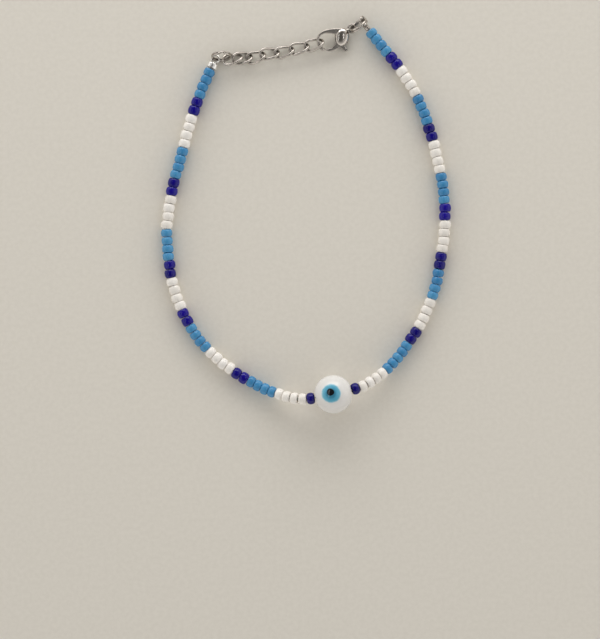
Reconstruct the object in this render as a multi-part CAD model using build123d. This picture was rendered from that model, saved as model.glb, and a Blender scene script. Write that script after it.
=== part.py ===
from build123d import *
import math
import os
import random

# A beaded anklet, fastened and lying loosely on a flat surface. Millimetres, +Z up.
# The thread carries 51 seed beads on the left, an eye ball in front and 52 seed beads on
# the right. A short curb chain and a lobster clasp join its two ends at the back.

# ---------------------------------------------------------------- driving dimensions
layout_centre = (0.07, -0.26)   # middle of the whole anklet's box, in the layout's numbers

thread_diameter = 0.4
bore_diameter = 1.0             # hole of a seed bead
string_height = 1.6             # the thread's height where the beads lie on the surface
slack_growth = 1.3              # the last two beads stand this many times as far apart as the first

# colour: (outer diameter, length along the thread) of a seed bead
seed_sizes = {"sky": (3.05, 1.75), "navy": (3.15, 1.96), "white": (3.10, 1.88)}
size_spread = 0.03              # a seed bead is up to this much larger or smaller
lean_spread = 0.8               # degrees that a seed bead leans on the thread
side_spread = 0.13              # how far a seed bead sits off the thread's line

# the beads in order from the eye ball outward, the same on both sides
pattern = [
    ("navy", 1), ("white", 4), ("sky", 4), ("navy", 2), ("white", 4), ("sky", 4),
    ("navy", 2), ("white", 4), ("navy", 2), ("sky", 4), ("white", 4), ("navy", 2),
    ("sky", 4), ("white", 4), ("navy", 2), ("sky", 4),
]
right_extra_group = 2           # on the right this group has one bead more

ball_diameter = 10.0
ball_centre = (7.2, -47.45)
ball_bore_diameter = 1.3
ball_bore_heading = 12.0        # degrees from +X
dimple_radius = 1.95            # round hollow at each mouth of the ball's bore, for the first bead
dimple_depth = 1.0
iris_diameter = 4.9
pupil_diameter = 2.0
eye_depth = 0.5                 # how deep the iris and the pupil are let in
inlay_clearance = 0.04
iris_lean = (-4.4, -8.0)        # degrees about X and Y that the eye looks off the vertical
pupil_lean = (-9.0, -9.6)

ring_wire = 0.52                # split rings: two turns of wire, lying on each other
ring_diameter = 5.3
ring_overlap = 0.02             # the two turns run into each other by this much, as one solid
ring_cut = 0.12                 # gap at the cut end of each turn
link_wire = 0.7
link_length = 5.7               # outer length and width of a chain link
link_width = 3.7
link_twist = 32.0               # each end of a link is turned this far, one against the other

cap_diameter = 2.8              # bead tip at the chain end
cap_length = 1.5
cap_wall = 0.3
cap_edge = 0.5                  # rounding at the closed end
cap_eye_wire = 0.44
cap_eye_radius = 1.0            # middle of the wire
crimp_diameter = 1.3
crimp_length = 2.0
crimp_wall = 0.4                # closed end of the crimp's bore
crimp_edge = 0.15
crimp_pinch = 0.125             # depth of the flats that grip the thread
crimp_play = 0.12               # the bore is this much wider than the thread
crimp_loop_wire = 0.4
crimp_loop_radius = 0.95
end_piece_height = 1.45         # least height of an end piece's middle line
neck_length = 0.1               # between an end piece and its soldered eye
neck_radius = 0.32
neck_sink = 0.2                 # how far a solder neck runs into the end piece
thread_end_room = 0.15

# clasp, in its own axes: u runs to the tail, v across, w is its thickness
dome_centre = (1.84, -0.6)
dome_half = (2.5, 1.97, 1.3)
dome_heading = 58.0
arm_thickness = 1.1
arm_edge = 0.3                  # the arm's and the lever's edges are rounded by this much
lever_thickness = 1.0
lever_edge = 0.18
slot_width = 1.3
slot_span = (-1.6, 2.8)         # the slot's two ends along u
slot_depth = 6.0
hub_room = 0.12                 # from the lever's hub to the slot's floor
pivot = (1.5, -0.9)
pin_radius = 0.4
pin_clearance = 0.08
hub_radius = 0.8
tail_centre = (5.1, 0.85)
tail_radius = 1.05
tail_wire = 0.5
tail_neck = (3.85, 0.7)         # middle of the short neck from the dome to the tail ring
tail_neck_radius = 0.5
tail_neck_length = 0.7
rivet_sink = 0.2                # how far the rivet runs into each cheek
clasp_place = (7.6, 46.2, 1.65, 18.4, 5.0, 12.0)

# ---------------------------------------------------------------- where things lie
# x, y of the thread on each side, from the ball outward, on the surface
left_route = [
    (-12.9, -45.1), (-20.1, -41.0), (-26.5, -35.5), (-31.2, -28.7), (-34.6, -20.5),
    (-36.2, -12.0), (-36.7, -3.9), (-35.4, 5.0), (-33.3, 13.4), (-30.8, 22.3), (-28.0, 31.2),
]
right_route = [
    (25.5, -36.3), (29.7, -30.2), (32.5, -24.4), (34.8, -16.8), (36.1, -8.5), (36.8, 0.0),
    (35.8, 9.0), (33.9, 17.8), (31.2, 26.4), (27.3, 34.7), (22.0, 41.6),
]
# x, y, z where the thread climbs to the ball's bore, from the ball outward
left_climb = [(-1.9, -48.7, 4.5), (-7.6, -47.6, 2.5)]
right_climb = [(15.8, -45.05, 4.38), (21.9, -40.8, 2.5)]
mouth_reach = 4.6               # the thread runs straight through the bore up to here
mouth_height = 4.95
first_place = 4.7               # the first beads' places start this far from the ball's middle

# name, x, y, z, heading, tilt, roll: how the metal pieces lie
links = [
    ("chain_link_1", 2.18, 44.32, 1.83, 15.1, -7.5, -19.5),
    ("chain_link_2", -1.75, 43.43, 1.55, 12.8, 0.3, -20.9),
    ("chain_link_3", -5.67, 42.44, 1.42, 13.7, -4.7, -22.6),
    ("chain_link_4", -9.54, 42.03, 1.49, 7.4, 10.4, -22.2),
    ("chain_link_5", -13.12, 40.98, 1.60, 11.3, -12.6, -19.1),
    ("chain_link_6", -16.67, 40.88, 1.35, 8.1, 9.5, -14.9),
    ("chain_link_7", -19.23, 40.59, 1.61, 13.0, 6.7, -29.2),
]
left_ring_place = (-22.13, 41.09, 2.76, -84.3, 73.1, 1.8)
right_ring_place = (13.86, 49.25, 2.68, -43.7, -68.3, -8.5)
cap_eye_place = (-23.76, 40.59, 1.25, 66.1, 2.1, -7.4)
crimp_loop_place = (15.07, 50.79, 1.51, 100.2, 0.2, 48.2)


def place(x, y, z, heading=0.0, tilt=0.0, roll=0.0):
    """Where a piece lies: rolled about its length, tilted, then turned to its heading."""
    return Pos(x, y, z) * Rot(0, 0, heading) * Rot(0, tilt, 0) * Rot(roll, 0, 0)


# ---------------------------------------------------------------- paths
def rounded_path(points):
    """Straight runs joined by tangent arcs, each as large as its two runs allow."""
    corners = [Vector(*p) for p in points]
    radii = []
    for before, here, after in zip(corners, corners[1:], corners[2:]):
        turn = math.radians((here - before).get_angle(after - here))
        shorter = min((here - before).length, (after - here).length)
        radii.append(0.45 * shorter / math.tan(turn / 2))
    return FilletPolyline(*corners, radius=radii), radii


def end_run(eye_place, eye_radius, bead_side, length):
    """The straight run from the last beads to a soldered eye: its way, and the end piece's two faces."""
    foot = (place(*eye_place) * Pos(-eye_radius, 0, 0)).position
    foot = Vector(foot.X, foot.Y, max(foot.Z, end_piece_height))
    way = (foot - bead_side).normalized()
    return way, foot - way * (length + neck_length), foot


left_last = Vector(*left_route[-1], string_height)
right_last = Vector(17.3, 47.2, string_height + 0.05)
cap_way, cap_base, cap_foot = end_run(cap_eye_place, cap_eye_radius, left_last, cap_length)
crimp_way, crimp_base, crimp_foot = end_run(
    crimp_loop_place, crimp_loop_radius, right_last, crimp_length)


def thread_points():
    """The thread from the bead tip, through the ball, to the crimp."""
    heading = math.radians(ball_bore_heading)
    across = Vector(math.cos(heading), math.sin(heading), 0)
    centre = Vector(*ball_centre, mouth_height)
    start = cap_foot - cap_way * (neck_length + cap_wall + thread_end_room)
    end = crimp_foot - crimp_way * (neck_length + crimp_wall + thread_end_room)
    points = [start]
    points += [Vector(x, y, string_height) for x, y in reversed(left_route)]
    points += [Vector(*p) for p in reversed(left_climb)]
    points += [centre - across * mouth_reach, centre + across * mouth_reach]
    points += [Vector(*p) for p in right_climb]
    points += [Vector(x, y, string_height) for x, y in right_route]
    points += [right_last, end]
    return points


thread_path, thread_radii = rounded_path(thread_points())
thread_length = thread_path.length


def on_thread(distance):
    """A frame on the thread at a distance from the bead tip, its z along the thread."""
    part_way = distance / thread_length
    way = thread_path % part_way
    level = Vector(0, 0, 1).cross(way).normalized()
    return Plane(origin=thread_path @ part_way, x_dir=level, z_dir=way).location


def tube(path, diameter):
    """A round rod along a path."""
    start = Plane(origin=path @ 0, z_dir=path % 0)
    return sweep(start * Circle(diameter / 2), path=path)


# ---------------------------------------------------------------- seed beads
def seed_bead(diameter, length):
    """A rounded glass bead, drilled along z."""
    bore, rim, half = bore_diameter / 2, diameter / 2, length / 2
    corners = [(bore, -half), (rim, -half), (rim, half), (bore, half)]
    hole_edge, outer_edge = 0.12 * length, 0.4 * length
    outline = FilletPolyline(
        *corners, radius=[hole_edge, outer_edge, outer_edge, hole_edge], close=True)
    return Rot(90, 0, 0) * revolve(make_face(outline), Axis.Y)


def strand_colours(extra_group=None):
    """The colour of each bead of one side, from the ball outward."""
    colours = []
    for group, (colour, count) in enumerate(pattern):
        colours += [colour] * (count + (1 if group == extra_group else 0))
    return colours


def strand_beads(colours, start, end, chance):
    """The beads of one side in order, spread over the thread from start to end."""
    lengths = []
    for colour in colours:
        lengths.append(seed_sizes[colour][1] * (1 + chance.uniform(-size_spread, size_spread)))
    steps = len(colours) + 1
    slack = abs(end - start) - sum(lengths)
    shares = [1 + (slack_growth - 1) * step / (steps - 1) for step in range(steps)]
    gaps = [slack * share / sum(shares) for share in shares]
    toward = 1 if end > start else -1
    along = start
    beads = []
    for colour, length, gap in zip(colours, lengths, gaps):
        along += toward * (gap + length / 2)
        diameter = seed_sizes[colour][0] * (1 + chance.uniform(-size_spread, 0))
        lean = [chance.uniform(-lean_spread, lean_spread) for axis in "xy"]
        side = chance.uniform(-side_spread, side_spread)
        spot = on_thread(along) * Pos(side, 0, 0) * Rot(lean[0], lean[1], 0)
        beads.append((colour, spot * seed_bead(diameter, length)))
        along += toward * length / 2
    return beads, gaps


# ---------------------------------------------------------------- eye ball
def glass_ball():
    """The ball, drilled along x, with a round hollow at each mouth of the bore."""
    radius = ball_diameter / 2
    section = Circle(radius) & Pos(0, radius) * Rectangle(3 * radius, 2 * radius)
    section -= Rectangle(3 * radius, ball_bore_diameter)
    for side in (-1, 1):
        section -= Pos(side * (radius + dimple_radius - dimple_depth), 0) * Circle(dimple_radius)
    return revolve(section, Axis.X)


def inlay(diameter, lean, inner_radius):
    """A round patch of the ball's own surface, down to an inner radius."""
    radius = ball_diameter / 2
    section = Circle(radius) - Circle(inner_radius)
    section &= Pos(diameter / 4, radius) * Rectangle(diameter / 2, 2 * radius)
    return Rot(*lean, 0) * Rot(90, 0, 0) * revolve(section, Axis.Y)


def ball_parts():
    """The glass ball, its iris and its pupil, let in flush with the ball."""
    radius = ball_diameter / 2
    floor_radius = radius - eye_depth
    room = 2 * inlay_clearance
    ball = Rot(0, 0, ball_bore_heading) * glass_ball()
    ball -= inlay(iris_diameter + room, iris_lean, floor_radius - inlay_clearance)
    iris = inlay(iris_diameter, iris_lean, floor_radius)
    iris -= inlay(pupil_diameter + room, pupil_lean, floor_radius - eye_depth)
    pupil = inlay(pupil_diameter, pupil_lean, floor_radius)
    seat = Pos(*ball_centre, radius)
    return seat * ball, seat * iris, seat * pupil


# ---------------------------------------------------------------- rings, links and ends
def split_ring(spot):
    """Two turns of wire lying on each other, each with its cut end."""
    middle = (ring_diameter - ring_wire) / 2
    lift = (ring_wire - ring_overlap) / 2
    turns = []
    for side in (-1, 1):
        turn = Pos(0, 0, side * lift) * Torus(middle, ring_wire / 2)
        cut = Pos(side * middle, 0, side * (lift + 0.2 * ring_wire))
        turn -= cut * Box(2 * ring_wire, ring_cut, ring_wire)
        turns.append(turn)
    return spot * (turns[0] + turns[1])


def half_link_path():
    """Half the middle line of a link: an oval whose two ends are turned against each other."""
    half_length = (link_length - link_wire) / 2
    half_width = (link_width - link_wire) / 2
    outline = [(1, 0), (1, 0.46), (0.52, 1), (-0.52, 1), (-1, 0.46), (-1, 0)]
    points = []
    for x_share, y_share in outline:
        turn = -math.radians(link_twist) * x_share
        across = y_share * half_width
        points.append(Vector(x_share * half_length, across * math.cos(turn), across * math.sin(turn)))
    end_half = (points[1] - points[0]).length
    corner_run = (points[2] - points[1]).length
    radii = []
    for before, here, after in zip(points, points[1:], points[2:]):
        turn = math.radians((here - before).get_angle(after - here))
        radii.append(0.45 * min(2 * end_half, corner_run) / math.tan(turn / 2))
    return FilletPolyline(*points, radius=radii)


def chain_link(spot):
    """One link of round wire, the same from both sides."""
    half = tube(half_link_path(), link_wire)
    return spot * (half + Rot(180, 0, 0) * half)


def wire_eye(radius, wire, spot):
    """A closed eye of wire."""
    return spot * Torus(radius, wire / 2)


def frame_between(start, end):
    """A frame at start whose z runs to end."""
    return Plane(origin=start, z_dir=end - start).location


def upright(radius, length, start=0.0):
    """A round post along z from a start height."""
    return Pos(0, 0, start) * Cylinder(radius, length, align=(Align.CENTER, Align.CENTER, Align.MIN))


def bead_tip():
    """A cup over the thread's end with an eye for the split ring, soldered together."""
    outside = upright(cap_diameter / 2, cap_length)
    outside = fillet(outside.edges().sort_by(Axis.Z)[-1], cap_edge)
    hollow = upright(cap_diameter / 2 - cap_wall, cap_length - cap_wall)
    neck = upright(neck_radius, 2 * neck_sink + neck_length, cap_length - neck_sink)
    eye = wire_eye(cap_eye_radius, cap_eye_wire, place(*cap_eye_place))
    return frame_between(cap_base, cap_foot) * (outside - hollow + neck) + eye


def crimp():
    """A crimped tube on the thread with a wire loop for the split ring, soldered together."""
    barrel = upright(crimp_diameter / 2, crimp_length)
    barrel = fillet(barrel.edges().filter_by(GeomType.CIRCLE), crimp_edge)
    pinch = Box(crimp_diameter, 2 * crimp_pinch, 0.3 * crimp_length)
    for side in (-1, 1):
        barrel -= Pos(0, side * crimp_diameter / 2, 0.55 * crimp_length) * pinch
    bore = upright((thread_diameter + crimp_play) / 2, crimp_length - crimp_wall)
    neck = upright(neck_radius, 2 * neck_sink + neck_length, crimp_length - neck_sink)
    loop = wire_eye(crimp_loop_radius, crimp_loop_wire, place(*crimp_loop_place))
    return frame_between(crimp_base, crimp_foot) * (barrel - bore + neck) + loop


# ---------------------------------------------------------------- lobster clasp
# the hook's tip stays 5.29 mm from the pivot, and the gate's tip turns inside it, 5.12 mm from it
arm_outside = [(2.6, 1.7), (0.9, 2.24), (0.0, 2.48), (-1.1, 2.62), (-2.5, 2.62), (-3.75, 2.15), (-4.6, 1.3),
               (-4.93, 0.2), (-4.84, -0.9), (-4.55, -1.75), (-4.2, -2.4)]
arm_inside = [(-3.61, -2.28), (-3.74, -1.6), (-4.0, -0.9), (-4.18, 0.1), (-3.95, 0.95), (-3.4, 1.5),
              (-2.5, 1.72), (-1.2, 1.45), (0.1, 0.85), (1.2, 0.4)]
gate_inside = [(-3.2, -1.82), (-2.88, -2.12), (-2.4, -2.3), (-1.7, -2.3), (-0.9, -2.0), (0.0, -1.35),
               (0.8, -0.75)]
gate_outside = [(2.32, -1.5), (2.15, -2.3), (2.05, -3.2), (2.35, -4.2), (2.1, -4.45), (1.45, -4.2),
                (1.05, -3.55), (0.65, -3.1), (-0.6, -3.08), (-1.8, -3.14), (-2.65, -2.94),
                (-3.18, -2.48), (-3.48, -2.08)]


def plate(face, thickness, edge, all_round):
    """A flat outline made into a plate, its edges rounded, or its long curved edges alone."""
    solid = extrude(face, amount=thickness / 2, both=True)
    edges = solid.edges().filter_by(Plane.XY)
    if not all_round:
        edges = edges.filter_by(GeomType.LINE, reverse=True)
    return fillet(edges, edge)


def clasp_arm():
    """The fixed hook."""
    outside = Spline(*arm_outside)
    inside = Spline(*arm_inside)
    tip = Line(outside @ 1, inside @ 0)
    root = Line(inside @ 1, outside @ 0)
    return plate(make_face([outside, tip, inside, root]), arm_thickness, arm_edge, all_round=True)


def clasp_body():
    """The claw: dome, hook, tail ring and rivet in one casting, slotted for the lever."""
    dome = Pos(*dome_centre) * Rot(0, 0, dome_heading) * scale(Sphere(1), by=dome_half)
    slot_top = pivot[1] + hub_radius + hub_room
    slot = Pos(sum(slot_span) / 2, slot_top - slot_depth / 2, 0)
    slot *= Box(slot_span[1] - slot_span[0], slot_depth, slot_width)
    tail = Pos(*tail_centre) * Torus(tail_radius, tail_wire / 2)
    neck = Pos(*tail_neck) * Rot(0, 90, 0) * Cylinder(tail_neck_radius, tail_neck_length)
    pin = Pos(*pivot) * Cylinder(pin_radius, slot_width + 2 * rivet_sink)
    return place(*clasp_place) * (dome - slot + clasp_arm() + neck + tail + pin)


def clasp_lever():
    """The gate with its thumb tab, turning on the rivet."""
    inside = Spline(*gate_inside)
    outside = Spline(*gate_outside)
    top = Line(inside @ 1, outside @ 0)
    tip = Line(outside @ 1, inside @ 0)
    lever = plate(make_face([inside, top, outside, tip]), lever_thickness, lever_edge, all_round=False)
    lever += Pos(*pivot) * Cylinder(hub_radius, lever_thickness)
    lever -= Pos(*pivot) * Cylinder(pin_radius + pin_clearance, 2 * lever_thickness)
    return place(*clasp_place) * lever


# ---------------------------------------------------------------- the whole anklet
def build():
    """Every piece by its node name."""
    nodes = {}
    chance = random.Random(8)
    centre = Vector(*ball_centre, mouth_height)
    at_ball = thread_path.param_at_point(centre) * thread_length
    at_cap = (cap_base - thread_path @ 0).length
    at_crimp = thread_length - (thread_path @ 1 - crimp_base).length
    sides = {"left": (at_ball - first_place, at_cap, None),
             "right": (at_ball + first_place, at_crimp, right_extra_group)}
    for side, (start, end, extra) in sides.items():
        beads, gaps = strand_beads(strand_colours(extra), start, end, chance)
        print(side, len(beads), "beads, gaps from", round(min(gaps), 3), "to", round(max(gaps), 3))
        for colour in seed_sizes:
            chosen = [bead for name, bead in beads if name == colour]
            nodes[f"{side}_{colour}_beads"] = Compound(chosen)
    nodes["thread"] = tube(thread_path, thread_diameter)
    section = math.pi * thread_diameter ** 2 / 4
    print("thread", round(thread_length, 2), "mm, volume", round(nodes["thread"].volume, 4),
          "against", round(section * thread_length, 4))
    print("thread radii", [round(radius, 1) for radius in thread_radii])
    nodes["eye_ball"], nodes["eye_iris"], nodes["eye_pupil"] = ball_parts()
    nodes["left_end_cap"] = bead_tip()
    nodes["right_crimp"] = crimp()
    nodes["left_split_ring"] = split_ring(place(*left_ring_place))
    nodes["right_split_ring"] = split_ring(place(*right_ring_place))
    for name, *spot in links:
        nodes[name] = chain_link(place(*spot))
    nodes["clasp_body"] = clasp_body()
    nodes["clasp_lever"] = clasp_lever()
    return nodes


if __name__ == "__main__":
    os.makedirs("parts", exist_ok=True)
    to_centre = Pos(-layout_centre[0], -layout_centre[1], 0)
    low, high = [], []
    for name, shape in build().items():
        piece = to_centre * shape
        piece.label = name
        export_step(piece, f"parts/{name}.step")
        box = piece.bounding_box()
        print(f"{name:20s} z {box.min.Z:6.2f} to {box.max.Z:6.2f}")
        low.append(box.min)
        high.append(box.max)
    for axis in "XYZ":
        print(axis, round(min(getattr(v, axis) for v in low), 3), round(max(getattr(v, axis) for v in high), 3))
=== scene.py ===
# %% [markdown]
# # A beaded anklet with an eye bead
# A string of small glass beads, one larger glass ball with an eye, and a short chain with a
# lobster clasp. The engineering model gives every piece's place and size. Here each piece gets
# the form and the finish that it has when it is made of glass, wire or cast metal.
# Lengths are in metres, +Z is up, and the anklet lies on the plane z = 0.

# %% Load the engineering model
import math
import random
from collections import namedtuple

import bmesh
import bpy
import numpy as np
from mathutils import Matrix, Vector


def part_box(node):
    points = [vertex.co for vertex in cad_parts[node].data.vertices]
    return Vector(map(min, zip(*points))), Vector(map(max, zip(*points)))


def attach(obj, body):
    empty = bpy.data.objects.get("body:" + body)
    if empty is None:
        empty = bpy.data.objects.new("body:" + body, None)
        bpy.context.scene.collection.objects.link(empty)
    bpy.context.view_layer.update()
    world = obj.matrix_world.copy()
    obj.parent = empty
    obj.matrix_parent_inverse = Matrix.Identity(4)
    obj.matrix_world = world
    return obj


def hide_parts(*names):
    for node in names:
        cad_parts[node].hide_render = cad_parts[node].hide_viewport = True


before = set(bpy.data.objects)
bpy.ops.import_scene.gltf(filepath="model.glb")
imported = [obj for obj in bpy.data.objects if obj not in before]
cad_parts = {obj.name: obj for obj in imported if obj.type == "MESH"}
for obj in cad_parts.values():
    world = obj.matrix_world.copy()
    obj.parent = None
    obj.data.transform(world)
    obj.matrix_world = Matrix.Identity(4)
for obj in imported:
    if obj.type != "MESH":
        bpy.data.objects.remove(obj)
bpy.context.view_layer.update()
mm = 0.001
chance = random.Random(21)

# %% [markdown]
# ## Reading a solid's place
# A bead or a link in the model is a closed surface somewhere in space, and nothing says where its
# hole points. One way is to copy every place from the model's source by hand. A surer way is to
# measure the solid: its middle, and the three directions in which its volume spreads. A bead is
# shorter along its hole than across it, so its hole is the direction of the least spread.

# %% Split a piece into its solids
def solids_of(node):
    """The triangles of each closed solid in a node of the model."""
    mesh = bmesh.new()
    mesh.from_mesh(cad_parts[node].data)
    bmesh.ops.remove_doubles(mesh, verts=mesh.verts, dist=1e-6)
    bmesh.ops.triangulate(mesh, faces=mesh.faces)
    mesh.faces.index_update()
    seen = set()
    solids = []
    for first in mesh.faces:
        if first.index in seen:
            continue
        seen.add(first.index)
        group = [first]
        for face in group:
            for edge in face.edges:
                for other in edge.link_faces:
                    if other.index not in seen:
                        seen.add(other.index)
                        group.append(other)
        solids.append(np.array([[corner.co[:] for corner in face.verts] for face in group]))
    mesh.free()
    return solids


print("sky blue beads on the left:", len(solids_of("left_sky_beads")))

# %% Measure a solid
def main_axes(triangles):
    """A solid's middle and its directions, from the least spread of volume to the most."""
    around = triangles.reshape(-1, 3).mean(0)
    for attempt in range(2):
        # each triangle makes a thin pyramid with the middle, and its volume is its share
        a, b, c = (triangles - around).transpose(1, 0, 2)
        share = np.einsum("ij,ij->i", a, np.cross(b, c)) / 6
        total = a + b + c
        around = around + (total * share[:, None]).sum(0) / (4 * share.sum())
    spread = sum(np.einsum("n,ni,nj->ij", share, v, v) for v in (a, b, c, total))
    axes = np.linalg.eigh(spread / (20 * share.sum()))[1]
    return around, axes.T


def reach(triangles, middle, axis):
    """How far a solid reaches from its middle, along an axis and away from it."""
    arms = triangles.reshape(-1, 3) - middle
    along = arms @ axis
    away = np.linalg.norm(arms - along[:, None] * axis, axis=1)
    return np.abs(along).max(), away.max()


print("a link's middle:", main_axes(solids_of("chain_link_4")[0])[0].round(4))

# %% [markdown]
# ## Making a piece
# Every piece ends up as one mesh that rides on a body of the model, so that it moves with it. The
# meshes come from rings of points: a bead, a wire and a ball are all rings laid one after the
# other. Small functions join rings into faces, round a corner, and lay a piece along its solid's
# own directions. The last one turns points and faces into a piece that takes the place of a plain
# solid of the model.

# %% Rings, corners and directions
def ring_faces(rings, around, first=0, closed=False):
    """Four-sided faces between rings of points that follow each other."""
    faces = []
    for ring in range(rings if closed else rings - 1):
        here = first + ring * around
        after = first + (ring + 1) % rings * around
        for step in range(around):
            following = (step + 1) % around
            faces.append((here + step, here + following, after + following, after + step))
    return faces


def curved(start, corner, end, share):
    """A point of the curve that rounds a corner, a share of the way from start to end."""
    return (1 - share) ** 2 * start + 2 * share * (1 - share) * corner + share ** 2 * end


def placed(middle, x, y):
    """The matrix that lays a piece's own x and y along two directions, about a middle."""
    x, y = Vector(x), Vector(y)
    return Matrix.Translation(middle) @ Matrix((x, y, x.cross(y))).transposed().to_4x4()


print("faces between two rings of four points:", ring_faces(2, 4))

# %% Make a piece
def make_piece(name, points, faces, material, body, stands_for, values=None):
    """A smooth mesh that rides on a body; values holds one number or vector a point, by name."""
    mesh = bpy.data.meshes.new(name)
    mesh.from_pydata([tuple(point) for point in points], [], faces)
    for key, numbers in (values or {}).items():
        kind, field = ("FLOAT", "value") if np.ndim(numbers) == 1 else ("FLOAT_VECTOR", "vector")
        attribute = mesh.attributes.new(key, kind, "POINT")
        attribute.data.foreach_set(field, np.asarray(numbers, np.float32).ravel())
    mesh.shade_smooth()
    mesh.update()
    mesh.materials.append(material)
    piece = bpy.data.objects.new(name, mesh)
    bpy.context.scene.collection.objects.link(piece)
    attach(piece, body)
    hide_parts(stands_for)
    print(f"{name}: {len(mesh.vertices)} points, {sum(len(f) - 2 for f in faces)} triangles")


# %% [markdown]
# ## Building blocks for shaders
# A material is a tree of nodes. Laid by hand, each node takes several lines: make it, set it, and
# link it. These helpers make one node with its settings and its inputs in a single line, where an
# input is either a number or another node's output. A node group is a tree that several materials
# share, with sockets of its own, so an effect is built once and tuned in each material.

# %% Make a node group
def new_group(name, inputs, outputs):
    """An empty shader group with named sockets; each input is (name, kind, value)."""
    group = bpy.data.node_groups.new(name, "ShaderNodeTree")
    for label, kind, value in inputs:
        socket = group.interface.new_socket(label, in_out="INPUT", socket_type=kind)
        socket.default_value = value
    for label, kind in outputs:
        group.interface.new_socket(label, in_out="OUTPUT", socket_type=kind)
    return group, group.nodes.new("NodeGroupInput"), group.nodes.new("NodeGroupOutput")


colour_socket, number_socket = "NodeSocketColor", "NodeSocketFloat"
surface = [("Colour", colour_socket), ("Roughness", number_socket), ("Height", number_socket)]
print("each surface group gives:", [label for label, kind in surface])

# %% Make nodes
def add_node(tree, kind, settings=None, values=None):
    """A node with its settings, and with values or links for its inputs."""
    node = tree.nodes.new(kind)
    for key, value in (settings or {}).items():
        setattr(node, key, value)
    for key, value in (values or {}).items():
        if isinstance(value, bpy.types.NodeSocket):
            tree.links.new(value, node.inputs[key])
        else:
            node.inputs[key].default_value = value
    return node


def mixed(tree, factor, first, second):
    """Two colours mixed by a factor. The Mix node keeps its colours in inputs 6 and 7."""
    node = add_node(tree, "ShaderNodeMix", {"data_type": "RGBA"}, {0: factor, 6: first, 7: second})
    return node.outputs[2]


def stretched(tree, value, low, high, to_low, to_high):
    """A number moved from one range to another, and held inside it."""
    node = add_node(tree, "ShaderNodeMapRange", values={
        "Value": value, "From Min": low, "From Max": high, "To Min": to_low, "To Max": to_high})
    return node.outputs["Result"]


def worked_out(tree, operation, *numbers):
    """The result of a Math node."""
    node = add_node(tree, "ShaderNodeMath", {"operation": operation}, dict(enumerate(numbers)))
    return node.outputs[0]


def noise(tree, place, scale, detail, roughness=0.5):
    """A soft random number for each place, about a half."""
    node = add_node(tree, "ShaderNodeTexNoise", values={
        "Vector": place, "Scale": scale, "Detail": detail, "Roughness": roughness})
    return node.outputs["Fac"]


def stored(tree, name, output):
    """What a mesh stores at each of its points under a name."""
    return add_node(tree, "ShaderNodeAttribute", {"attribute_name": name}).outputs[output]


def own_place(tree):
    """Each point's place in its object's own coordinates, in metres."""
    return add_node(tree, "ShaderNodeTexCoord").outputs["Object"]


print("node groups so far:", len(bpy.data.node_groups))

# %% [markdown]
# ## Glass group
# Glass that is drawn into cane and cut into beads has faint streaks along the hole, a little
# cloudiness, fine pits, and beads that differ slightly in depth of colour. A painted picture could
# hold all this, but noise worked out from each point's own place needs no unwrapping and has no
# seams. Every bead stores its points' places in its own coordinates, in millimetres, so the
# streaks follow its hole, and a tone from -1, paler, to 1, deeper.

# %% Glass group
streaks_across, streaks_along = 2.6, 0.35       # noise is fine across the hole, and drawn out along it
cane, given, result = new_group("cane_glass", [
    ("Colour", colour_socket, (0.5, 0.5, 0.5, 1)),
    ("Pale", colour_socket, (1, 1, 1, 1)),
    ("Deep", colour_socket, (0, 0, 0, 1)),
    ("Streaks", number_socket, 0.3),
    ("Smooth", number_socket, 0.1),
    ("Rough", number_socket, 0.3)], surface)
in_glass = stored(cane, "in_glass", "Vector")
tone = stored(cane, "bead_tone", "Fac")
drawn_out = add_node(cane, "ShaderNodeMapping", values={
    "Vector": in_glass, "Scale": (streaks_across, streaks_across, streaks_along)}).outputs["Vector"]
streaks = noise(cane, drawn_out, scale=1.0, detail=4.0, roughness=0.55)
clouds = noise(cane, in_glass, scale=0.9, detail=2.0)
pits = noise(cane, in_glass, scale=5.0, detail=3.0, roughness=0.6)

toned = mixed(cane, stretched(cane, tone, 0, 1, 0, 1), given.outputs["Colour"], given.outputs["Deep"])
toned = mixed(cane, stretched(cane, tone, 0, -1, 0, 1), toned, given.outputs["Pale"])
streak_share = worked_out(cane, "MULTIPLY", stretched(cane, streaks, 0.35, 0.7, 0, 1),
                          given.outputs["Streaks"])
cloud_share = worked_out(cane, "MULTIPLY", stretched(cane, clouds, 0.4, 0.75, 0, 1),
                         given.outputs["Streaks"])
streaked = mixed(cane, streak_share, toned, given.outputs["Deep"])
cane.links.new(mixed(cane, cloud_share, streaked, given.outputs["Pale"]), result.inputs["Colour"])
cane.links.new(stretched(cane, pits, 0.35, 0.7, given.outputs["Smooth"], given.outputs["Rough"]),
               result.inputs["Roughness"])
cane.links.new(worked_out(cane, "MULTIPLY_ADD", streaks, 0.6, pits), result.inputs["Height"])
print("glass group:", len(cane.nodes), "nodes")

# %% [markdown]
# ## Metal group
# Plated wire keeps its bright colour on open faces. In nooks, where shade falls, its colour is painted
# dark brown-grey as shade. The ambient occlusion node finds such nooks: it looks how much of the space
# round a point is open, as far as Depth. Painting them by hand would fit one pose only. Soft noise adds
# dull patches on open faces, and fine noise makes the gloss uneven, as small scratches do.

# %% Metal group
patch_scale, scratch_scale = 900.0, 5200.0      # about 1 mm and 0.2 mm from spot to spot
dull_rough = 0.5
wear_and_shade, given, result = new_group("rubbed_plate_and_painted_shade", [
    ("Bright", colour_socket, (0.8, 0.8, 0.8, 1)),
    ("Dull_and_shade", colour_socket, (0.2, 0.18, 0.15, 1)),
    ("Dullness", number_socket, 0.5),
    ("Depth", number_socket, 0.8 * mm),
    ("Smooth", number_socket, 0.16)], surface)
place = own_place(wear_and_shade)
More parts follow.
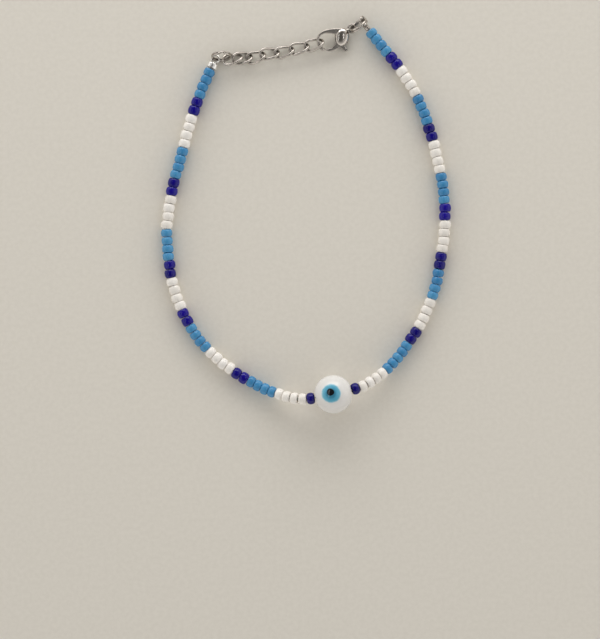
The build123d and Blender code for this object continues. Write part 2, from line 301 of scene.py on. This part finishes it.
# the ambient occlusion node says how open the space round each point is, and so places the painted shade
open_share = add_node(wear_and_shade, "ShaderNodeAmbientOcclusion", {"samples": 8}, {
    "Distance": given.outputs["Depth"]}).outputs["AO"]
patches = noise(wear_and_shade, place, patch_scale, detail=4.0, roughness=0.6)
scratches = noise(wear_and_shade, place, scratch_scale, detail=2.0)

# painted shade: nooks, where the ambient occlusion finds little open space, take the dark second colour
painted_shade_mask = stretched(wear_and_shade, open_share, 0.25, 0.95, 1, 0)
dull_patches = worked_out(wear_and_shade, "MULTIPLY", stretched(wear_and_shade, patches, 0.45, 0.75, 0, 1),
                          given.outputs["Dullness"])
# this mask joins the painted shade in nooks with the random dull patches
shade_and_patch_mask = add_node(wear_and_shade, "ShaderNodeMath", {"operation": "ADD", "use_clamp": True}, {
    0: painted_shade_mask, 1: dull_patches}).outputs[0]
worn_rough = stretched(wear_and_shade, shade_and_patch_mask, 0, 1, given.outputs["Smooth"], dull_rough)
# the colour: bright on open faces, darkened as painted shade in nooks and in the dull patches
wear_and_shade.links.new(mixed(wear_and_shade, shade_and_patch_mask, given.outputs["Bright"], given.outputs["Dull_and_shade"]),
               result.inputs["Colour"])
wear_and_shade.links.new(worked_out(wear_and_shade, "MULTIPLY_ADD", scratches, 0.12, worn_rough),
               result.inputs["Roughness"])
wear_and_shade.links.new(patches, result.inputs["Height"])
print("metal group:", len(wear_and_shade.nodes), "nodes")

# %% [markdown]
# ## Materials
# All the glass is opaque: sky blue, deep blue and white seed beads, a white ball, and the blue and
# black spots of the eye. Opaque glass is a coloured body under a clear gloss, which the Principled
# shader gives with its base colour and specular. Light enters white and sky blue glass a little,
# so they get some subsurface scattering. The metal is one shader with three strengths of wear and
# of painted shade in its nooks. Numbers that are the same all over a surface are set on the
# shader's own sockets.

# %% Material helpers
glass_bending = 1.52            # how strongly glass bends light, its IOR
glow_depth = 0.35 * mm          # how far light gets into white glass
plate_relief = 0.012 * mm


def new_material(name):
    """An empty material with its Principled shader."""
    material = bpy.data.materials.new(name)
    material.use_nodes = True
    return material, material.node_tree, material.node_tree.nodes["Principled BSDF"]


def surfaced(tree, shader, group, relief, values):
    """A surface group with its values, linked to a shader, its height as a bump of some relief."""
    node = add_node(tree, "ShaderNodeGroup", {"node_tree": group}, values)
    bump = add_node(tree, "ShaderNodeBump", values={
        "Height": node.outputs["Height"], "Distance": relief})
    tree.links.new(node.outputs["Colour"], shader.inputs["Base Color"])
    tree.links.new(node.outputs["Roughness"], shader.inputs["Roughness"])
    tree.links.new(bump.outputs["Normal"], shader.inputs["Normal"])


def glass(name, colour, pale, deep, streaks, smooth, rough, glow=0.0, shine=0.5, relief=0.02 * mm):
    """Opaque glass of one colour."""
    material, tree, shader = new_material(name)
    surfaced(tree, shader, cane, relief, {
        "Colour": (*colour, 1), "Pale": (*pale, 1), "Deep": (*deep, 1),
        "Streaks": streaks, "Smooth": smooth, "Rough": rough})
    shader.inputs["IOR"].default_value = glass_bending
    shader.inputs["Specular IOR Level"].default_value = shine
    shader.inputs["Subsurface Weight"].default_value = glow
    shader.inputs["Subsurface Radius"].default_value = (1.0, 1.0, 1.0)
    shader.inputs["Subsurface Scale"].default_value = glow_depth
    return material


def metal(name, bright, shade_and_dull, dullness, depth, smooth):
    """Plated metal, bright on open faces, with painted shade in its nooks and darker random patches."""
    material, tree, shader = new_material(name)
    surfaced(tree, shader, wear_and_shade, plate_relief, {
        "Bright": (*bright, 1), "Dull_and_shade": (*shade_and_dull, 1), "Dullness": dullness, "Depth": depth,
        "Smooth": smooth})
    shader.inputs["Metallic"].default_value = 1.0
    return material


print("glass lets light in", glow_depth / mm, "mm deep")

# %% Glass
seed_glass = {
    "sky": glass("sky_glass", colour=(0.052, 0.26, 0.51), pale=(0.080, 0.32, 0.57),
                 deep=(0.036, 0.20, 0.43), streaks=0.35, smooth=0.12, rough=0.30,
                 glow=0.08, shine=0.4),
    "navy": glass("navy_glass", colour=(0.005, 0.0012, 0.215), pale=(0.012, 0.004, 0.28),
                  deep=(0.003, 0.0006, 0.13), streaks=0.30, smooth=0.05, rough=0.14, shine=0.3),
    "white": glass("white_glass", colour=(0.91, 0.87, 0.81), pale=(0.93, 0.90, 0.86),
                   deep=(0.82, 0.78, 0.72), streaks=0.30, smooth=0.14, rough=0.32,
                   glow=0.15, relief=0.01 * mm),
}
ball_glass = glass("ball_glass", colour=(0.78, 0.765, 0.74), pale=(0.83, 0.815, 0.795),
                   deep=(0.72, 0.705, 0.685), streaks=0.35, smooth=0.08, rough=0.2,
                   glow=0.15, relief=0.012 * mm)
print("glasses of the seed beads:", list(seed_glass))

# %% Metals
# the second colour of each metal is painted shade in its nooks, and also the colour of its random dull
# patches
plate_bright, plate_shade_and_dull = (0.54, 0.50, 0.455), (0.06, 0.045, 0.033)
silver = metal("silver_metal", plate_bright, plate_shade_and_dull, dullness=0.35, depth=1.1 * mm, smooth=0.08)
cast_silver = metal("cast_silver", plate_bright, plate_shade_and_dull, dullness=0.25, depth=1.0 * mm, smooth=0.11)
bright_silver = metal("bright_silver", (0.92, 0.91, 0.88), (0.20, 0.19, 0.17),
                      dullness=0.15, depth=0.5 * mm, smooth=0.2)
print("metals:", silver.name, cast_silver.name, bright_silver.name)

# %% [markdown]
# ## Seed beads: where they touch
# The model keeps its beads a little apart, so that each stays a solid of its own. On a tight
# thread they touch. Moving them together would shorten the string, so each bead stays where it is
# and each of its ends grows until it meets its neighbour. Where the string bends, two ends lean
# towards each other and meet at their inner side first, so they get less.

# %% Find the seed beads
Bead = namedtuple("Bead", "colour middle axes half_length radius")


def beads_on(side):
    """Every seed bead on one side of the anklet."""
    beads = []
    for colour in seed_glass:
        for triangles in solids_of(f"{side}_{colour}_beads"):
            middle, axes = main_axes(triangles)
            beads.append(Bead(colour, middle, axes, *reach(triangles, middle, axes[0])))
    return beads


strings = {side: beads_on(side) for side in ("left", "right")}
print("seed beads:", {side: len(beads) for side, beads in strings.items()})

# %% Grow the ends
touch_radius = 1.0 * mm         # how far from the hole's middle the rounded ends of two beads meet
touch_play = 0.02 * mm          # left free at each end
neighbour_reach = 1.5           # times the two half lengths: neighbours' middles are nearer than this


def end_lengths(bead, beads):
    """How far a bead's two ends reach from its middle, so that they meet its neighbours."""
    ends = [bead.half_length, bead.half_length]
    for other in beads:
        apart = other.middle - bead.middle
        distance = np.linalg.norm(apart)
        lengths = bead.half_length + other.half_length
        if 0 < distance < neighbour_reach * lengths:
            lean = math.acos(min(1.0, abs(bead.axes[0] @ other.axes[0])))
            room = distance - lengths - lean * touch_radius
            ends[int(apart @ bead.axes[0] > 0)] += max(0.0, room / 2 - touch_play)
    return ends


first_bead = strings["left"][0]
print("half length in mm:", round(first_bead.half_length / mm, 3),
      "grown to:", [round(end / mm, 3) for end in end_lengths(first_bead, strings["left"])])

# %% [markdown]
# ## Seed beads: their form
# A seed bead is a slice of glass cane, tumbled in heat until its edges melt round. In section its
# wall is between round and square, so a superellipse turned about the hole gives it in one
# formula. A torus would be too round, and a drilled cylinder with bevels shows its edges. No two
# beads are alike: each is slightly oval and tapered, its ends slant by different amounts, and it
# has its own depth of colour. All the beads of one colour on one side are one mesh.

# %% Turn one seed bead
bead_around = 36                # points round the hole
bead_section = 26               # points round the wall's section
section_power = 2.0             # 2 is a round section, and more is squarer
bore_radius = 0.48 * mm
most_oval, most_slant, most_taper = 0.018, 0.05, 0.0075


def seed_bead(bead, beads):
    """Points of one bead, and the same points in its own coordinates, in millimetres."""
    ends = end_lengths(bead, beads)
    wall = (bead.radius - bore_radius) / 2
    oval, oval_turn = chance.uniform(0.0, most_oval), chance.uniform(0, math.tau)
    slants = [chance.uniform(-most_slant, most_slant) for end in ends]
    slant_turns = [chance.uniform(0, math.tau) for end in ends]
    taper = chance.uniform(-most_taper, most_taper)
    power = section_power + chance.uniform(-0.1, 0.25)
    points, own = [], []
    for step in range(bead_section):
        turn = math.tau * step / bead_section
        out, up = [math.copysign(abs(share) ** (2 / power), share)
                   for share in (math.cos(turn), math.sin(turn))]
        away = bore_radius + wall * (1 + out)
        end = 0 if up < 0 else 1
        for spoke in range(bead_around):
            angle = math.tau * spoke / bead_around
            slant = 1 + slants[end] * math.cos(angle - slant_turns[end])
            bulge = 1 + oval * math.cos(2 * (angle - oval_turn)) + taper * up * (1 + out)
            local = np.array([up * ends[end] * slant,
                              away * bulge * math.cos(angle), away * bulge * math.sin(angle)])
            points.append(bead.middle + local @ bead.axes)
            own.append(local[[1, 2, 0]] / mm)
    return points, own


print("one bead has", bead_around * bead_section, "points")

# %% String the seed beads
noise_room = 40                 # mm: each bead takes its streaks from its own part of the noise


def bead_string(side, colour, beads):
    """All the seed beads of one colour on one side, as one mesh."""
    points, faces, own, tones = [], [], [], []
    for bead in beads:
        if bead.colour == colour:
            faces += ring_faces(bead_section, bead_around, len(points), closed=True)
            turned, turned_own = seed_bead(bead, beads)
            shift = np.array([chance.uniform(0, noise_room) for axis in range(3)])
            points += turned
            own += [spot + shift for spot in turned_own]
            tones += [chance.uniform(-1, 1)] * len(turned)
    make_piece(f"{side}_{colour}_seeds", points, faces, seed_glass[colour], "anklet",
               f"{side}_{colour}_beads",
               {"in_glass": np.array(own), "bead_tone": np.array(tones)})


for side, beads in strings.items():
    for colour in seed_glass:
        bead_string(side, colour, beads)

# %% [markdown]
# ## Eye ball
# The ball is wound from white glass round a rod, which leaves its bore. A round hollow at each
# mouth takes the next bead. A sphere cut by a cylinder would do, but leaves long thin faces at the
# cuts. Here one profile is turned about the bore instead: over the outside from mouth to mouth,
# round a soft rim into the hollow, and back through the bore.

# %% Ball sizes
ball_low, ball_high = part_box("eye_ball")
ball_radius = (ball_high.y - ball_low.y) / 2    # the model's ball is whole only across its bore
ball_middle = (ball_low + ball_high) / 2
ball_middle.z = ball_low.z + ball_radius        # its top is cut away for the eye
ball_bore = 0.65 * mm
hollow_radius = 1.95 * mm       # round hollow at each mouth of the bore, where the next bead sits
hollow_depth = 1.0 * mm
rim_radius = 0.12 * mm
ball_around = 96                # points in a ring
ball_stations = 60              # rings over the outside
hollow_stations = 8
bore_heading = math.radians(12)
print("ball in mm: radius", round(ball_radius / mm, 3), "middle", [round(v / mm, 2) for v in ball_middle])

# %% Ball profile
def ball_profile():
    """(along the bore, away from it) over the outside from one mouth to the other, then the bore."""
    hollow_middle = ball_radius + hollow_radius - hollow_depth
    rim = (ball_radius ** 2 - hollow_radius ** 2 + hollow_middle ** 2) / (2 * hollow_middle)
    mouth = math.acos(rim / ball_radius) + rim_radius / ball_radius
    outside = []
    for step in range(ball_stations + 1):
        turn = mouth + (math.pi - 2 * mouth) * step / ball_stations
        outside.append(Vector((-math.cos(turn), math.sin(turn))) * ball_radius)
    widest = math.acos((hollow_middle - rim) / hollow_radius) - rim_radius / hollow_radius
    narrowest = math.asin(ball_bore / hollow_radius)
    hollow = []
    for step in range(hollow_stations + 1):
        turn = widest + (narrowest - widest) * step / hollow_stations
        hollow.append(Vector((hollow_middle - hollow_radius * math.cos(turn),
                              hollow_radius * math.sin(turn))))
    corner = Vector((rim, math.sqrt(ball_radius ** 2 - rim ** 2)))
    rounded = [curved(outside[-1], corner, hollow[0], share) for share in (0.25, 0.5, 0.75)]
    one_side = rounded + hollow
    bore = [Vector((hollow[-1].x * share, ball_bore)) for share in (0.5, 0.0, -0.5)]
    other_side = [Vector((-spot.x, spot.y)) for spot in reversed(one_side)]
    return outside + one_side + bore + other_side


profile = ball_profile()
print("profile:", len(profile), "points")

# %% Turn the ball
to_ball = Matrix.Translation(ball_middle) @ Matrix.Rotation(bore_heading, 4, "Z")
ball_points, ball_own = [], []
for along, away in profile:
    for spoke in range(ball_around):
        angle = math.tau * spoke / ball_around
        local = Vector((along, away * math.cos(angle), away * math.sin(angle)))
        ball_points.append(to_ball @ local)
        ball_own.append(local.yzx / mm)
ball_faces = [face[::-1] for face in ring_faces(len(profile), ball_around, closed=True)]
make_piece("eye_ball_glass", ball_points, ball_faces, ball_glass, "anklet", "eye_ball",
           {"in_glass": np.array(ball_own), "bead_tone": np.zeros(len(ball_points))})

# %% [markdown]
# ## The eye's glass
# The iris is sky blue with a paler rim that fades into the white, and a deeper ring round the
# pupil. Separate rings of geometry would give hard edges, and the real colours run into each other
# while hot. So each point of the lens knows how far out it lies, from 0 to 1, and noise shifts that
# distance before a colour ramp reads it, so that no edge of colour is a perfect circle.

# %% Spot materials
def spot_glass(name, stops, wobble, smooth, rough):
    """Glass of a melted spot, its colour running from the middle outward."""
    material, tree, shader = new_material(name)
    clouds = noise(tree, stored(tree, "in_glass", "Vector"), scale=1.1, detail=3.0)
    shifted = worked_out(tree, "MULTIPLY_ADD", clouds, wobble, stored(tree, "from_middle", "Fac"))
    ramp = add_node(tree, "ShaderNodeValToRGB", values={"Fac": shifted})
    ramp.color_ramp.interpolation = "EASE"
    while len(ramp.color_ramp.elements) < len(stops):
        ramp.color_ramp.elements.new(0.5)
    for element, (place, colour) in zip(ramp.color_ramp.elements, stops):
        element.position = place
        element.color = (*colour, 1)
    tree.links.new(ramp.outputs["Color"], shader.inputs["Base Color"])
    tree.links.new(stretched(tree, clouds, 0.3, 0.7, smooth, rough), shader.inputs["Roughness"])
    shader.inputs["IOR"].default_value = glass_bending
    return material


iris_stops = [
    (0.10, (0.028, 0.14, 0.21)), (0.46, (0.050, 0.24, 0.36)), (0.64, (0.090, 0.38, 0.56)),
    (0.84, (0.13, 0.45, 0.60)), (0.93, (0.35, 0.60, 0.70)), (1.0, (0.76, 0.77, 0.76))]
pupil_stops = [
    (0.0, (0.004, 0.006, 0.008)), (0.9, (0.004, 0.008, 0.011)), (1.0, (0.010, 0.05, 0.075))]
iris_glass = spot_glass("iris_glass", iris_stops, wobble=0.13, smooth=0.06, rough=0.16)
pupil_glass = spot_glass("pupil_glass", pupil_stops, wobble=0.10, smooth=0.04, rough=0.10)
print("spot materials:", iris_glass.name, pupil_glass.name)

# %% [markdown]
# ## Iris and pupil
# The eye is two drops of coloured glass, pressed into the ball while it is hot. They lie almost
# flush, their edges are soft, and their outlines are a little lobed. Discs laid on the ball would
# stand up like coins. So each is a lens in the ball's own surface, with a flat back inside the
# ball, and a few waves give its rim the lobes.

# %% Melt in the iris and the pupil
spot_rings, spot_around = 22, 72
soft_rim = 0.3125               # share of the radius over which the lens comes down to its rim
rim_sunk = 0.05 * mm            # how deep the rim itself lies in the ball


def melted_spot(name, node, material, spread, proud, lobes):
    """A lens in the ball's surface, its rim waved by lobes: (count, height, turn)."""
    pole = Vector(main_axes(solids_of(node)[0])[1][0])
    pole *= 1 if pole.z > 0 else -1
    low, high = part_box(node)
    radius = spread * max(high.x - low.x, high.y - low.y) / 2
    turn = Vector((0, 0, 1)).rotation_difference(pole).to_matrix()
    points = [ball_middle + pole * (ball_radius + proud)]
    own, out = [[0, 0, 0]], [0.0]
    for ring in range(1, spot_rings + 1):
        share = ring / spot_rings
        lift = proud * min(1.0, (1 - share) / soft_rim) ** 0.5
        height = ball_radius + lift - (rim_sunk if ring == spot_rings else 0)
        for spoke in range(spot_around):
            angle = math.tau * spoke / spot_around
            wave = sum(size * math.cos(count * angle + start) for count, size, start in lobes)
            away = radius * share * (1 + wave * share)
            flat = Vector((away * math.cos(angle), away * math.sin(angle), 0))
            flat.z = math.sqrt(height ** 2 - away ** 2)
            points.append(ball_middle + turn @ flat)
            own.append([flat.x / mm, flat.y / mm, 0])
            out.append(share)
    following = [(spoke + 1) % spot_around for spoke in range(spot_around)]
    faces = [(0, 1 + spoke, 1 + after) for spoke, after in enumerate(following)]
    faces += [face[::-1] for face in ring_faces(spot_rings, spot_around, 1)]
    rim, base = points[-spot_around:], len(points)
    points += rim + [sum(rim, Vector()) / spot_around]      # the lens's flat back, inside the ball
    own += own[-spot_around:] + [[0, 0, 0]]
    out += [1.0] * (spot_around + 1)
    faces += [(base + spot_around, base + after, base + spoke) for spoke, after in enumerate(following)]
    make_piece(name, points, faces, material, "anklet", node,
               {"in_glass": np.array(own), "from_middle": np.array(out)})


melted_spot("iris_spot", "eye_iris", iris_glass, spread=1.12, proud=0.02 * mm,
            lobes=[(2, 0.02, 0.5), (3, 0.016, 2.0), (7, 0.008, 0.3)])
melted_spot("pupil_spot", "eye_pupil", pupil_glass, spread=1.0, proud=0.045 * mm,
            lobes=[(2, 0.035, 1.0), (3, 0.03, 0.2), (5, 0.012, 1.4)])

# %% [markdown]
# ## Thread
# Clear nylon thread shows only where two beads leave a gap, and at its ends. A new tube could be
# swept for it, but the model's own thread has the right shape, so it stays and only gets a
# material: grey, glossy, and lit a little from within.

# %% Thread material
nylon, tree, shader = new_material("nylon_thread")
fibres = noise(tree, own_place(tree), scale=2500.0, detail=3.0)
tree.links.new(mixed(tree, stretched(tree, fibres, 0.3, 0.7, 0, 1),
                     (0.50, 0.50, 0.49, 1), (0.62, 0.62, 0.61, 1)), shader.inputs["Base Color"])
tree.links.new(stretched(tree, fibres, 0.3, 0.7, 0.18, 0.4), shader.inputs["Roughness"])
shader.inputs["Subsurface Weight"].default_value = 0.2
shader.inputs["Subsurface Scale"].default_value = 0.2 * mm
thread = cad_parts["thread"]
thread.data.materials.clear()
thread.data.materials.append(nylon)
print("thread stays, in", nylon.name)

# %% [markdown]
# ## Wire
# Chain links and split rings are both bent from round wire. A curve with a round bevel would draw
# such wire at once. Rings of points laid along a line take a little more code, but they let the
# wire narrow where two of its ends meet, and a cut end gets a flat face.

# %% Sweep a wire
def swept_wire(stations, radii, around, closed):
    """Points of a round wire through stations, turned as little as possible from each to the next."""
    count = len(stations)
    side = None
    frames = []
    for index, here in enumerate(stations):
        before = stations[index - 1] if closed or index else here
        after = stations[(index + 1) % count] if closed or index < count - 1 else here
        way = (after - before).normalized()
        if side is None:
            side = way.orthogonal().normalized()
        side = (side - way * side.dot(way)).normalized()
        frames.append((here, side, way.cross(side)))
    drift = 0.0                 # how far a closed wire's last ring is turned against its first
    if closed:
        first_way = (stations[1] - stations[-1]).normalized()
        last = (side - first_way * side.dot(first_way)).normalized()
        drift = math.atan2(last.dot(frames[0][2]), last.dot(frames[0][1]))
    points = []
    for index, (here, side, up) in enumerate(frames):
        for spoke in range(around):
            angle = math.tau * spoke / around - drift * index / count
            points.append(here + radii[index] * (math.cos(angle) * side + math.sin(angle) * up))
    return points


straight = swept_wire([Vector((0, 0, 0)), Vector((0, 0, 1))], [1.0, 1.0], 4, closed=False)
print("a straight wire of two rings:", len(straight), "points")

# %% [markdown]
# ## Chain links
# A curb link starts as an oval of wire with straight long sides. It is twisted along its length, so
# that a chain of such links lies flat. Bending a finished torus would squash its wire, so the
# middle line is twisted first and the wire is laid along it. The wire's two ends butt together on
# one long side, where a fine groove stays.

# %% Draw a link's middle line
link_wire = 0.7 * mm
link_half = (2.5 * mm, 1.5 * mm)        # middle line of the wire, half its length and half its width
link_twist = math.radians(32)
link_corners = [(1, 0.46), (0.52, 1), (-0.52, 1), (-1, 0.46),       # shares of link_half
                (-1, -0.46), (-0.52, -1), (0.52, -1), (1, -0.46)]
corner_share = 0.45             # a corner's curve takes this share of the shorter run beside it
corner_stations = 10


def link_line():
    """The middle line of a link: straight runs and curved corners, its ends turned against each other."""
    corners = []
    for along, across in link_corners:
        twist = -link_twist * along
        corners.append(Vector((along * link_half[0], across * link_half[1] * math.cos(twist),
                               across * link_half[1] * math.sin(twist))))
    cut = corner_share * min((corners[1] - corners[0]).length, (corners[0] - corners[-1]).length)
    line = []
    for index, here in enumerate(corners):
        before, after = corners[index - 1], corners[(index + 1) % len(corners)]
        start = here + (before - here).normalized() * cut
        end = here + (after - here).normalized() * cut
        line += [curved(start, here, end, step / (corner_stations - 1))
                 for step in range(corner_stations)]
    return line


print("a link's middle line:", len(link_line()), "points")

# %% Make the chain
link_around = 20
joint_gap = 0.05 * mm
joint_groove = ((-2, 1.0), (-1, 0.97), (0, 0.84), (1, 0.97), (2, 1.0))  # (gaps along, narrowing)
long_side_starts = (2 * corner_stations - 1, 6 * corner_stations - 1)       # last point before each


def chain_link(name):
    """One twisted oval link, with its butt joint on one long side."""
    middle, axes = main_axes(solids_of(name)[0])
    to_place = placed(middle, axes[2], axes[1])
    line = link_line()
    last = chance.choice(long_side_starts)
    joint, way = (line[last] + line[last + 1]) / 2, (line[last + 1] - line[last]).normalized()
    stations = [(spot, 1.0) for spot in line[:last + 1]]
    stations += [(joint + way * step * joint_gap, narrow) for step, narrow in joint_groove]
    stations += [(spot, 1.0) for spot in line[last + 1:]]
    points = swept_wire([to_place @ spot for spot, narrow in stations],
                        [link_wire / 2 * narrow for spot, narrow in stations], link_around, closed=True)
    faces = ring_faces(len(stations), link_around, closed=True)
    make_piece(f"{name}_wire", points, faces, silver, "anklet", name)


for name in sorted(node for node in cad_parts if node.startswith("chain_link")):
    chain_link(name)

# %% [markdown]
# ## Split rings
# A split ring is one springy wire wound twice. Its turns lie on each other and change places in one
# short step, and its two cut ends lie either side of that step. Two plain rings side by side would
# look alike from far off, but have no ends. One coil whose height eases from the lower turn to the
# upper one gives the step and the ends together.

# %% Wind the split rings
ring_wire = 0.52 * mm
turns_lift = 0.48 * ring_wire   # each turn's middle line lies this far from the ring's middle plane
cross_over = 0.9                # angle in which the wire steps from one turn to the other
end_gap = 0.32                  # angle between the step's middle and each cut end
end_narrow = 0.78               # a cut end's rounded edge leaves it this share of the wire's radius
ring_stations, ring_around = 150, 16


def split_ring(name):
    """One wire wound twice, with cut ends either side of the cross-over."""
    triangles = solids_of(name)[0]
    middle, axes = main_axes(triangles)
    radius = reach(triangles, middle, axes[0])[1] - ring_wire / 2
    to_place = placed(middle, axes[1], axes[2])
    stations = []
    for step in range(ring_stations):
        angle = end_gap + (2 * math.tau - 2 * end_gap) * step / (ring_stations - 1)
        share = min(1.0, max(0.0, (angle - math.tau) / cross_over + 0.5))
        eased = share * share * (3 - 2 * share)
        spot = Vector((radius * math.cos(angle), radius * math.sin(angle), turns_lift * (2 * eased - 1)))
        stations.append(to_place @ spot)
    radii = [ring_wire / 2] * ring_stations
    radii[0] = radii[-1] = ring_wire / 2 * end_narrow
    points = swept_wire(stations, radii, ring_around, closed=False)
    faces = ring_faces(ring_stations, ring_around)
    faces.append(tuple(range(ring_around))[::-1])
    faces.append(tuple(range(len(points) - ring_around, len(points))))
    make_piece(f"{name}_coil", points, faces, silver, "anklet", name)


split_ring("left_split_ring")
split_ring("right_split_ring")

# %% [markdown]
# ## Cast and soldered pieces
# The clasp is cast in two pieces and tumbled, so its edges are soft and one form runs into the
# next. The bead tip and the crimp are soldered to their eyes. Modelled edge by edge, such melted
# joints take long. Instead the model's own solid is filled with a fine grid of cells, which joins
# everything that overlaps, and then smoothed, which rounds every corner as tumbling does. Such a
# grid has no cells below a tenth of a millimetre, so the solid is made a thousand times larger.

# %% Melt a solid's joints
def melted(name, node, body, material, cell, rounds):
    """A node's form from small cells, smoothed. Cell is in millimetres."""
    source = bpy.data.meshes.new(name + "_source")
    mesh = bmesh.new()
    mesh.from_mesh(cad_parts[node].data)
    bmesh.ops.remove_doubles(mesh, verts=mesh.verts, dist=1e-6)
    bmesh.ops.scale(mesh, vec=(1 / mm,) * 3, verts=mesh.verts)
    mesh.to_mesh(source)
    mesh.free()
    work = bpy.data.objects.new(name + "_work", source)
    bpy.context.scene.collection.objects.link(work)
    cells = work.modifiers.new("cells", "REMESH")
    cells.mode = "VOXEL"
    cells.voxel_size = cell
    tumble = work.modifiers.new("tumble", "SMOOTH")
    tumble.factor = 0.5
    tumble.iterations = rounds
    bpy.context.view_layer.update()
    done = bpy.data.meshes.new_from_object(work.evaluated_get(bpy.context.evaluated_depsgraph_get()))
    points = [vertex.co * mm for vertex in done.vertices]
    faces = [tuple(face.vertices) for face in done.polygons]
    bpy.data.objects.remove(work)
    bpy.data.meshes.remove(source)
    bpy.data.meshes.remove(done)
    make_piece(name, points, faces, material, body, node)


melted("bead_tip", "left_end_cap", "anklet", bright_silver, cell=0.05, rounds=3)
melted("crimp_tube", "right_crimp", "anklet", silver, cell=0.045, rounds=3)
melted("claw", "clasp_body", "anklet", cast_silver, cell=0.042, rounds=9)
melted("gate", "clasp_lever", "lever", cast_silver, cell=0.04, rounds=7)

# %% [markdown]
# ## Floor
# The anklet lies on a plain pale table. It is one large square, so that no edge of it shows from
# any side, in a matt paper whose fine grain keeps it from looking like a flat colour.

# %% Floor
floor_half = 1.5
floor_mesh = bpy.data.meshes.new("floor")
floor_corners = ((-1, -1), (1, -1), (1, 1), (-1, 1))
floor_mesh.from_pydata([(x * floor_half, y * floor_half, 0) for x, y in floor_corners], [],
                       [(0, 1, 2, 3)])
floor = bpy.data.objects.new("floor", floor_mesh)
bpy.context.scene.collection.objects.link(floor)
paper, tree, shader = new_material("pale_paper")
grain = noise(tree, own_place(tree), scale=900.0, detail=3.0)
tree.links.new(mixed(tree, stretched(tree, grain, 0.35, 0.65, 0, 1),
                     (0.78, 0.74, 0.66, 1), (0.81, 0.77, 0.69, 1)), shader.inputs["Base Color"])
shader.inputs["Roughness"].default_value = 0.85
floor_mesh.materials.append(paper)
print("floor:", 2 * floor_half, "m wide")

# %% [markdown]
# ## Lights
# Gloss shows only what there is to reflect, so the lights are shaped for it. Two narrow lights,
# left and right of the camera, give each bead its pair of small highlights. A wide low light behind
# gives the metal its bright upper edges. The surround is bright near the horizon and darker
# overhead, so that the metal's flat faces stay dark beside those edges. One big soft light overhead
# would be simpler, and would wash all of this out.

# %% Lights
view_middle = Vector((-1.57, -27.67, 1.6)) * mm     # in the plane of the beads' middles


def soft_light(name, spot, size, power):
    """A long soft light that faces the middle of the view."""
    data = bpy.data.lights.new(name, "AREA")
    data.shape = "RECTANGLE"
    data.size, data.size_y = size
    data.energy = power
    lamp = bpy.data.objects.new(name, data)
    lamp.location = spot
    lamp.rotation_euler = (view_middle - Vector(spot)).to_track_quat("-Z", "Y").to_euler()
    bpy.context.scene.collection.objects.link(lamp)
    print(f"{name}: {size[0]} by {size[1]} m, {power} W")


for name, side in (("left_strip", -1), ("right_strip", 1)):
    soft_light(name, spot=(side * 0.26, 0.0, 0.5), size=(0.44, 0.022), power=0.17)
soft_light("back_window", spot=(0.0, 0.64, 0.27), size=(0.85, 0.32), power=2.4)

# %% Surround
world = bpy.data.worlds.new("surround")
world.use_nodes = True
tree = world.node_tree
toward = add_node(tree, "ShaderNodeTexCoord").outputs["Generated"]
up = add_node(tree, "ShaderNodeSeparateXYZ", values={"Vector": toward}).outputs["Z"]
background = tree.nodes["Background"]
background.inputs["Color"].default_value = (1.0, 0.975, 0.945, 1)
tree.links.new(stretched(tree, up, low=0.3, high=0.85, to_low=1.28, to_high=0.12),
               background.inputs["Strength"])
bpy.context.scene.world = world
bpy.context.scene.view_settings.view_transform = "Standard"
print("surround:", len(tree.nodes), "nodes")

# %% [markdown]
# ## Camera
# The camera looks straight down from half a metre, so that the loop shows its true outline. From
# nearer by, the tall ball would lean away from the middle. A lens's angle follows from how much it
# takes in at that distance, so the lens is worked out instead of guessed.

# %% Camera
view_height = 0.168             # how much of the table the view takes in, from front to back
camera_height = 0.50
camera_data = bpy.data.cameras.new("camera")
camera_data.sensor_width = 36
camera_data.lens = camera_data.sensor_width * camera_height / view_height
camera = bpy.data.objects.new("camera", camera_data)
camera.location = view_middle + Vector((0, 0, camera_height))
bpy.context.scene.collection.objects.link(camera)
bpy.context.scene.camera = camera
print("lens:", round(camera_data.lens, 1), "mm")

# %% [markdown]
# ## End
# Last, the script prints that the scene is built.

# %% End
print("scene built")
